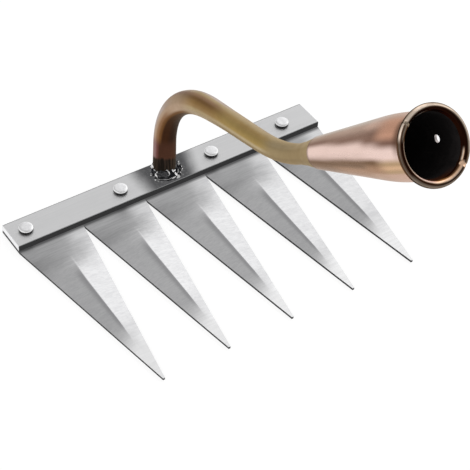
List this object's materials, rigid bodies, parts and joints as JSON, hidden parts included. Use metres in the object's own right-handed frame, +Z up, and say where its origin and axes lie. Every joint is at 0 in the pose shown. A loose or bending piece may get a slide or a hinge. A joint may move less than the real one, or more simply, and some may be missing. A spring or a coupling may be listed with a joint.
{
  "type": "weeding rake head",
  "caption": "Weeding rake head: long triangular folded teeth riveted under a flat bar, with a bent gooseneck welded to the bar and a tapered socket for a wooden handle.",
  "frame": {"origin": "on the blade's flat underside, below the middle of the bar", "axes": "+X along the bar, -Y the way the teeth point, +Z up from the blade's underside towards the neck"},
  "size_m": [0.25, 0.2866, 0.252],
  "materials": {
    "brushed_steel": "fine brushed grain along the bar",
    "bright_steel": "smooth rolled steel, darkened by heat beside the weld",
    "rivet_steel": "bright, smooth heads",
    "bronzed_steel": "bronze and gold heat tint, satin",
    "weld_metal": "dark, rippled, glossy",
    "copper_steel": "rose copper tint, polished"
  },
  "bodies": {
    "root": {"toothed_blade": "brushed_steel", "back_bar": "bright_steel", "rivet_1": "rivet_steel", "rivet_2": "rivet_steel", "rivet_3": "rivet_steel", "rivet_4": "rivet_steel", "gooseneck": "bronzed_steel", "neck_weld": "weld_metal", "handle_socket": "copper_steel"}
  },
  "joints": []
}
